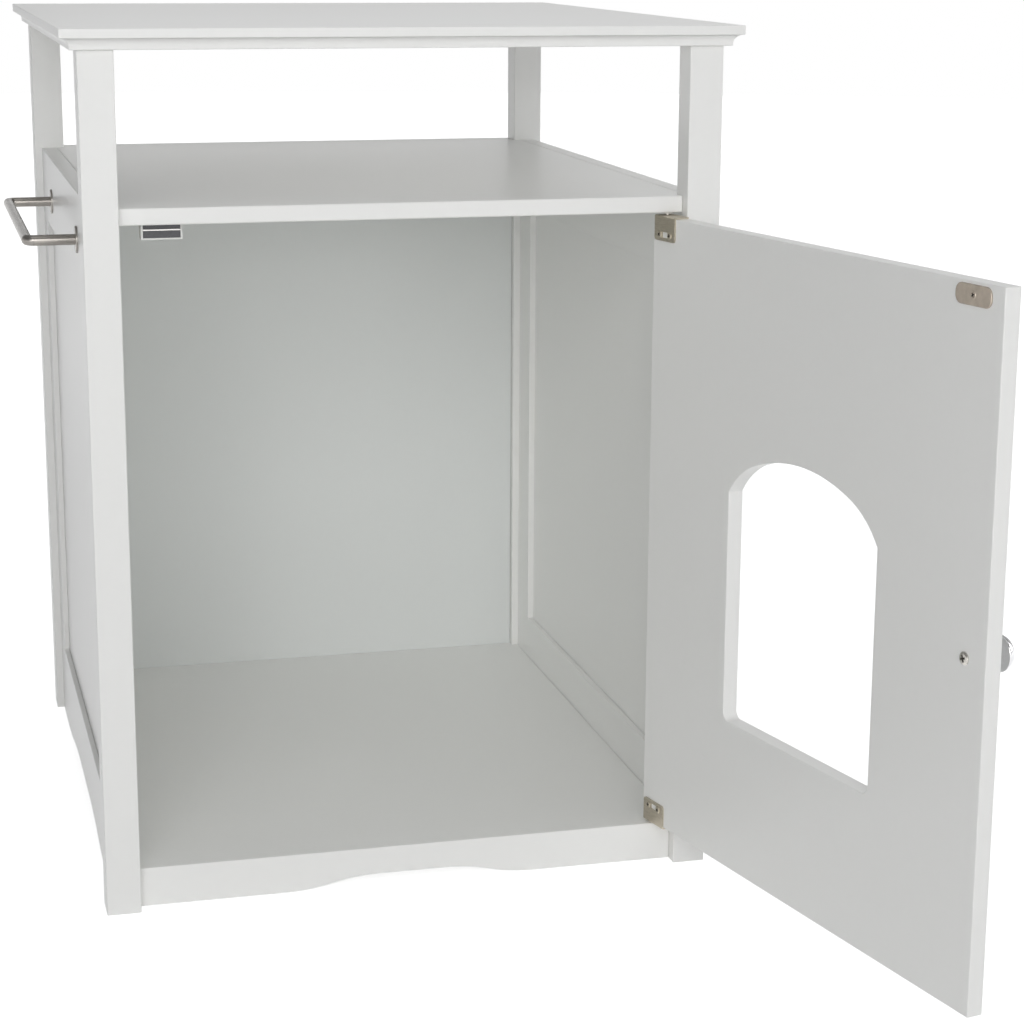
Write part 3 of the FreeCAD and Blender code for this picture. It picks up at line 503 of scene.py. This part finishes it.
def makeScrewShape(values, length):
    height, head, shank = values["height"], values["head"], values["shank"]
    crown = values["crown"] * head
    shape = bmesh.new()
    half = values["cross"] / 2
    # A grid of nine cells becomes the cross: its inner lines move in and its corners go.
    bmesh.ops.create_grid(shape, x_segments=3, y_segments=3, size=half)
    for vertex in shape.verts:
        for axis in (0, 1):
            if abs(vertex.co[axis]) < half * 0.9:
                vertex.co[axis] *= crossValues["arm"] * 3
    centres = [(face, face.calc_center_median()) for face in shape.faces]
    corners = [face for face, centre in centres
               if min(abs(centre.x), abs(centre.y)) > half * 0.3]
    bmesh.ops.delete(shape, geom=corners, context="FACES")
    cross = list(shape.faces)
    rim = [edge for edge in shape.edges if edge.is_boundary]
    ringVerts = bmesh.ops.create_circle(shape, segments=crossValues["segments"],
                                        radius=crown)["verts"]
    ring = list({edge for vertex in ringVerts for edge in vertex.link_edges})
    bmesh.ops.translate(shape, vec=(0, 0, height), verts=shape.verts)
    bmesh.ops.triangle_fill(shape, edges=rim + ring, use_beauty=True, use_dissolve=False)
    # The cross goes down and narrows.
    sunkVerts = pickOut(bmesh.ops.extrude_face_region(shape, geom=cross)["geom"],
                        bmesh.types.BMVert)
    bmesh.ops.delete(shape, geom=cross, context="FACES")
    taper = crossValues["taper"]
    bmesh.ops.scale(shape, vec=(taper, taper, 1), verts=sunkVerts)
    bmesh.ops.translate(shape, vec=(0, 0, -crossValues["sink"] * half), verts=sunkVerts)
    # The cross's faces take the second, near-black metal: painted shade in the recess.
    for face in {face for vertex in sunkVerts for face in vertex.link_faces}:
        face.material_index = 1
    # The head's side and the shank are rings that grow from the crown.
    if "sunk" in values:
        steps = [(head, -height), (shank, -values["sunk"])]
    else:
        upper, side, under = (share * height for share in crossValues["shoulder"])
        steps = [((head + crown) / 2, -upper), (head, -side), (head, -under), (shank, 0)]
    point = crossValues["point"]
    steps += [(shank, point - length), (shank * crossValues["pointShare"], -point)]
    radius = crown
    for toRadius, rise in steps:
        verts, ring = nextRing(shape, ring)
        bmesh.ops.scale(shape, vec=(toRadius / radius, toRadius / radius, 1), verts=verts)
        bmesh.ops.translate(shape, vec=(0, 0, rise), verts=verts)
        radius = toRadius
    bmesh.ops.contextual_create(shape, geom=ring)
    bmesh.ops.recalc_face_normals(shape, faces=shape.faces)
    return shape


def copiesAt(single, places):
    mesh = bpy.data.meshes.new("single")
    single.to_mesh(mesh)
    single.free()
    whole = bmesh.new()
    for place in places:
        before = len(whole.verts)
        whole.from_mesh(mesh)
        whole.verts.ensure_lookup_table()
        bmesh.ops.transform(whole, matrix=place, verts=whole.verts[before:])
    bpy.data.meshes.remove(mesh)
    return whole


def makeScrews(node, values):
    size = screwValues[values["size"]]
    axis, sign, row, place = (values[key] for key in ("axis", "sign", "row", "place"))
    low, high, middle = boxOf(node, place)
    length = high[axis] - low[axis] - size["height"]
    seat = (high[axis] - size["height"]) if sign > 0 else (low[axis] + size["height"])
    facing = (Matrix.Rotation(sign * math.pi / 2, 4, "Y"),
              Matrix.Rotation(-sign * math.pi / 2, 4, "X"),
              Matrix.Rotation(math.pi if sign < 0 else 0, 4, "X"))[axis]
    spots = []
    for index in range(values["count"]):
        spot = middle.copy()
        spot[axis] = seat
        if values["count"] > 1:
            spot[row] = (low[row] + size["head"], high[row] - size["head"])[index]
        turn = math.radians(values["turn"] + crossValues["between"] * index)
        spots.append(place @ Matrix.Translation(spot) @ facing @ Matrix.Rotation(turn, 4, "Z"))
    shape = copiesAt(makeScrewShape(size, length), spots)
    # The second material is the painted shade of the cross recess.
    finishPiece(values["name"], shape, [finish[values["finish"]], finish["recessPaintedShade"]], [node],
                sharpest=30)


for node, values in screwRows.items():
    makeScrews(node, values)
print("stage: screws")

# Knob: its outline turned about the axis that points out of the door.
knobValues = {
    "hole": 0.0020,
    "holeDepth": 0.010,
    "foot": (0.0080, 0.0020),  # radius, then how far from the door
    "neck": (0.0060, 0.0030, 0.0090),  # radius, from, to
    "brim": (0.0126, 0.0140),
    "reach": 0.0240,
    "round": 0.0006,
    "turns": 96,
    "domeSteps": 18,
}


def turnRound(shape, turns):
    bmesh.ops.spin(shape, geom=shape.verts[:] + shape.edges[:], cent=(0, 0, 0), axis=(0, 0, 1),
                   dvec=(0, 0, 0), angle=2 * math.pi, space=roomPlace, steps=turns,
                   use_merge=True, use_duplicate=False)
    bmesh.ops.remove_doubles(shape, verts=shape.verts, dist=1e-6)
    bmesh.ops.recalc_face_normals(shape, faces=shape.faces)


def makeKnob(values):
    low, _, middle = boxOf("knob", doorPlace)
    shape = bmesh.new()
    brim, rise = values["brim"]
    neck, neckFrom, neckTo = values["neck"]
    dome = values["reach"] - rise
    curve = (brim * brim + dome * dome) / (2 * dome)  # radius of the dome's arc
    centre = values["reach"] - curve
    outline = [(0, values["holeDepth"]), (values["hole"], values["holeDepth"]),
               (values["hole"], 0), (values["foot"][0], 0), values["foot"],
               (neck, neckFrom), (neck, neckTo), values["brim"]]
    verts = [shape.verts.new((radius, 0, height)) for radius, height in outline]
    for first, second in zip(verts, verts[1:]):
        shape.edges.new((first, second))
    sweep = math.atan2(brim, rise - centre)
    bmesh.ops.spin(shape, geom=[verts[-1]], cent=(0, 0, centre), axis=(0, 1, 0), dvec=(0, 0, 0),
                   angle=-sweep, space=roomPlace, steps=values["domeSteps"], use_merge=False,
                   use_duplicate=False)
    turnRound(shape, values["turns"])
    easeEdges(shape, values["round"], shortest=0.0001, sharpest=32,
              wanted=lambda edge: all(vertex.co.xy.length > neck for vertex in edge.verts))
    seat = Vector((middle.x, low.y + values["reach"], middle.z))
    place = doorPlace @ Matrix.Translation(seat) @ Matrix.Rotation(math.pi / 2, 4, "X")
    bmesh.ops.transform(shape, matrix=place, verts=shape.verts)
    finishPiece("knobDome", shape, [finish["polishedChrome"]], ["knob"], sharpest=40)


makeKnob(knobValues)
print("stage: knob")

# Towel bar: a round section drawn along the bar and spun round its two bends.
barValues = {
    "radius": 0.0040,
    "bend": 0.0050,
    "bore": 0.0020,
    "boreDepth": 0.010,
    "sides": 48,
    "bendSteps": 12,
}


def makeTowelBar(values):
    low, high, middle = boxOf("towel_bar")
    radius, bend = values["radius"], values["bend"]
    wall, reach = high.x, low.x + radius  # reach: x of the bar's long run
    front, back = low.y + radius, high.y - radius
    shape = bmesh.new()
    start = bmesh.ops.create_circle(shape, segments=values["sides"], radius=radius,
                                    cap_ends=False)["verts"]
    bmesh.ops.rotate(shape, cent=(0, 0, 0), matrix=Matrix.Rotation(math.pi / 2, 3, "Y"),
                     verts=start)
    bmesh.ops.translate(shape, vec=(wall, front, middle.z), verts=start)
    first = list(shape.edges)

    def run(ring, move):
        verts, ring = nextRing(shape, ring)
        bmesh.ops.translate(shape, vec=move, verts=verts)
        return ring

    def turn(ring, centre):
        last = bmesh.ops.spin(shape, geom=ring, cent=centre, axis=(0, 0, 1), dvec=(0, 0, 0),
                              angle=-math.pi / 2, space=roomPlace, steps=values["bendSteps"],
                              use_merge=False, use_duplicate=False)["geom_last"]
        return pickOut(last, bmesh.types.BMEdge)

    arm = wall - reach - bend
    ring = run(first, (-arm, 0, 0))
    ring = turn(ring, (reach + bend, front + bend, middle.z))
    ring = run(ring, (0, back - front - 2 * bend, 0))
    ring = turn(ring, (reach + bend, back - bend, middle.z))
    ring = run(ring, (arm, 0, 0))
    for end in (first, ring):  # each end is bored for its screw
        across = sum(edge.verts[0].co.y for edge in end) / len(end)
        for depth, size in ((0, values["bore"] / radius), (values["boreDepth"], 1)):
            verts, end = nextRing(shape, end)
            bmesh.ops.scale(shape, vec=(1, size, size), verts=verts,
                            space=Matrix.Translation((-wall, -across, -middle.z)))
            bmesh.ops.translate(shape, vec=(-depth, 0, 0), verts=verts)
        bmesh.ops.contextual_create(shape, geom=end)
    bmesh.ops.recalc_face_normals(shape, faces=shape.faces)
    # The long run takes the darker copy of the steel and the arms the lighter one: painted shade and painted light
    # on one steel.
    for face in shape.faces:
        face.material_index = 0 if face.calc_center_median().x < reach + bend else 1
    finishPiece("towelBar", shape, [finish["brushedBarShaded"], finish["brushedArmsLit"]],
                ["towel_bar"], sharpest=50)


flangeValues = {
    "bore": 0.0040,
    "radius": 0.0100,
    "thick": 0.0015,
    "rim": 0.0006,
    "turns": 64,
}


def makeFlange(side, values):
    node = side + "_bar_flange"
    _, high, middle = boxOf(node)
    shape = bmesh.new()
    bore, radius, thick = values["bore"], values["radius"], values["thick"]
    verts = [shape.verts.new((0, across, rise))
             for across, rise in ((bore, 0), (radius, 0), (radius, thick), (bore, thick))]
    for index, vertex in enumerate(verts):
        shape.edges.new((verts[index - 1], vertex))
    turnRound(shape, values["turns"])
    easeEdges(shape, values["rim"], shortest=0.0001, sharpest=60,
              wanted=lambda edge: all(vertex.co.z > thick / 2
                                      and vertex.co.xy.length > radius * 0.9
                                      for vertex in edge.verts))
    place = Matrix.Translation((high.x, middle.y, middle.z))
    bmesh.ops.transform(shape, matrix=place @ Matrix.Rotation(-math.pi / 2, 4, "Y"),
                        verts=shape.verts)
    finishPiece(side + "BarFlange", shape, [finish["brushedFlange"]], [node], sharpest=40)


makeTowelBar(barValues)
for side in ("front", "back"):
    makeFlange(side, flangeValues)
print("stage: towel bar")

# Small moulded and cut pieces are the CAD's shapes with their sharp edges eased.
easedValues = {  # name, ease and finish
    "catch_housing": ("catchHousing", 0.0003, "mouldedCatch"),
    "catch_magnets": ("catchMagnets", 0.0002, "sinteredMagnet"),
    "catch_steel": ("catchSteel", 0.00015, "platedSteel"),
    "upper_pivot_pin": ("upperPivotPin", 0.0003, "platedSteel"),
    "lower_pivot_pin": ("lowerPivotPin", 0.0003, "platedSteel"),
    "upper_pivot_bush": ("upperPivotBush", 0.0002, "mouldedBush"),
    "lower_pivot_bush": ("lowerPivotBush", 0.0002, "mouldedBush"),
}
for node, (name, radius, material) in easedValues.items():
    shape = mergedCopy(node)
    easeEdges(shape, radius, shortest=0.00001, segments=2, sharpest=50)
    finishPiece(name, shape, [finish[material]], [node])

# The dowels are the CAD's own, and only get their finish.
for node, cadObject in frame["nodes"].items():
    if slotOf[node] == "bare_wood":
        cadObject.data.materials.clear()
        cadObject.data.materials.append(finish["bareBeech"])
print("stage: catch, pivots and dowels")

stageValues = {
    "floorRadius": 9.0,
    "floorColour": (0.84, 0.84, 0.84),
    "floorGlow": (0.72, 1.0),  # near the object and far from it
    "glowReach": (1.2, 2.6),
    "floorSides": 96,
    "floorRough": 0.9,
    "worldColour": (0.97, 0.985, 1.0),
    "worldLight": 0.16,
    "skySeen": (1.0, 0.30),  # the background in metal and gloss, at the horizon and overhead
    "skyHeights": (0.02, 0.35),
    "bounces": 8,  # light goes deep into the white compartment
}
lampValues = {
    "front": {
        "place": (-0.6, -3.4, 1.7), "aim": (0.0, 0.1, 0.3),
        "size": (2.0, 1.6), "watts": 26.0,
    },
    "low": {
        "place": (-0.2, -3.4, 0.75), "aim": (0.0, 0.1, 0.4),
        "size": (2.4, 0.9), "watts": 17.0,
    },
    "leftFront": {
        "place": (-1.7, -2.9, 1.2), "aim": (0.0, 0.1, 0.3),
        "size": (1.6, 1.6), "watts": 16.0,
    },
    "right": {
        "place": (3.0, -0.3, 1.2), "aim": (0.0, 0.1, 0.3),
        "size": (1.6, 1.6), "watts": 18.0,
    },
    "above": {
        "place": (0.1, -0.6, 3.0), "aim": (0.0, 0.1, 0.3),
        "size": (2.4, 2.4), "watts": 14.0,
    },
    "back": {
        "place": (0.9, 2.9, 2.3), "aim": (0.0, 0.1, 0.3),
        "size": (2.4, 1.8), "watts": 16.0,
    },
}


# Joins several kinds of ray into one factor.
def anyOf(tree, path, outputs):
    total = None
    for output in outputs:
        socket = path.outputs[output]
        if total is None:
            total = socket
            continue
        more = tree.nodes.new("ShaderNodeMath")
        more.operation = "MAXIMUM"
        tree.links.new(total, more.inputs[0])
        tree.links.new(socket, more.inputs[1])
        total = more.outputs[0]
    return total


# The floor takes the light, and glows white for the camera and for reflections.
def makeFloor(values):
    shape = bmesh.new()
    bmesh.ops.create_circle(shape, cap_ends=True, segments=values["floorSides"],
                            radius=values["floorRadius"])
    mesh = bpy.data.meshes.new("studioFloor")
    shape.to_mesh(mesh)
    shape.free()
    floor = bpy.data.objects.new("studioFloor", mesh)
    bpy.context.scene.collection.objects.link(floor)
    material, tree, shader = startMaterial("studioFloor", Roughness=values["floorRough"])
    shader.inputs["Base Color"].default_value = (*values["floorColour"], 1)
    path = tree.nodes.new("ShaderNodeLightPath")
    glow = tree.nodes.new("ShaderNodeMath")
    glow.operation = "MULTIPLY"
    distance = tree.nodes.new("ShaderNodeVectorMath")
    distance.operation = "LENGTH"
    link(tree, objectPlace(tree), "Vector", distance, 0)
    near = spread(tree, distance, "Value", *values["floorGlow"], *values["glowReach"])
    link(tree, near, "Result", glow, 1)
    seen = anyOf(tree, path, ("Is Camera Ray", "Is Glossy Ray", "Is Transmission Ray"))
    tree.links.new(seen, glow.inputs[0])
    shader.inputs["Emission Color"].default_value = (1, 1, 1, 1)
    link(tree, glow, "Value", shader, "Emission Strength")
    mesh.materials.append(material)


# The world lights faintly, is white to the camera, and darkens overhead in reflections.
def makeWorld(values):
    world = bpy.data.worlds.new("studioWorld")
    bpy.context.scene.world = world
    world.use_nodes = True
    tree = world.node_tree
    tree.nodes.clear()
    path = tree.nodes.new("ShaderNodeLightPath")
    lit, white, sky = (tree.nodes.new("ShaderNodeBackground") for _ in range(3))
    lit.inputs["Color"].default_value = (*values["worldColour"], 1)
    lit.inputs["Strength"].default_value = values["worldLight"]
    for background in (white, sky):
        background.inputs["Color"].default_value = (1, 1, 1, 1)
    direction = tree.nodes.new("ShaderNodeTexCoord")
    parts = tree.nodes.new("ShaderNodeSeparateXYZ")
    link(tree, direction, "Generated", parts, "Vector")
    height = spread(tree, parts, "Z", *values["skySeen"], *values["skyHeights"])
    link(tree, height, "Result", sky, "Strength")
    glossy = tree.nodes.new("ShaderNodeMixShader")
    seen = tree.nodes.new("ShaderNodeMixShader")
    output = tree.nodes.new("ShaderNodeOutputWorld")
    link(tree, path, "Is Glossy Ray", glossy, "Fac")
    tree.links.new(lit.outputs[0], glossy.inputs[1])
    tree.links.new(sky.outputs[0], glossy.inputs[2])
    straight = anyOf(tree, path, ("Is Camera Ray", "Is Transmission Ray"))
    tree.links.new(straight, seen.inputs["Fac"])
    tree.links.new(glossy.outputs[0], seen.inputs[1])
    tree.links.new(white.outputs[0], seen.inputs[2])
    tree.links.new(seen.outputs[0], output.inputs[0])


def makeLamps(values):
    for name, lamp in values.items():
        data = bpy.data.lights.new(name + "Lamp", "AREA")
        data.shape = "RECTANGLE"
        data.size, data.size_y = lamp["size"]
        data.energy = lamp["watts"]
        lampObject = bpy.data.objects.new(name + "Lamp", data)
        bpy.context.scene.collection.objects.link(lampObject)
        direction = Vector(lamp["aim"]) - Vector(lamp["place"])
        lampObject.location = lamp["place"]
        lampObject.rotation_euler = direction.to_track_quat("-Z", "Y").to_euler()


makeFloor(stageValues)
makeWorld(stageValues)
makeLamps(lampValues)
bpy.context.scene.view_settings.view_transform = "Standard"
bpy.context.scene.cycles.diffuse_bounces = stageValues["bounces"]
print("stage: floor and light")
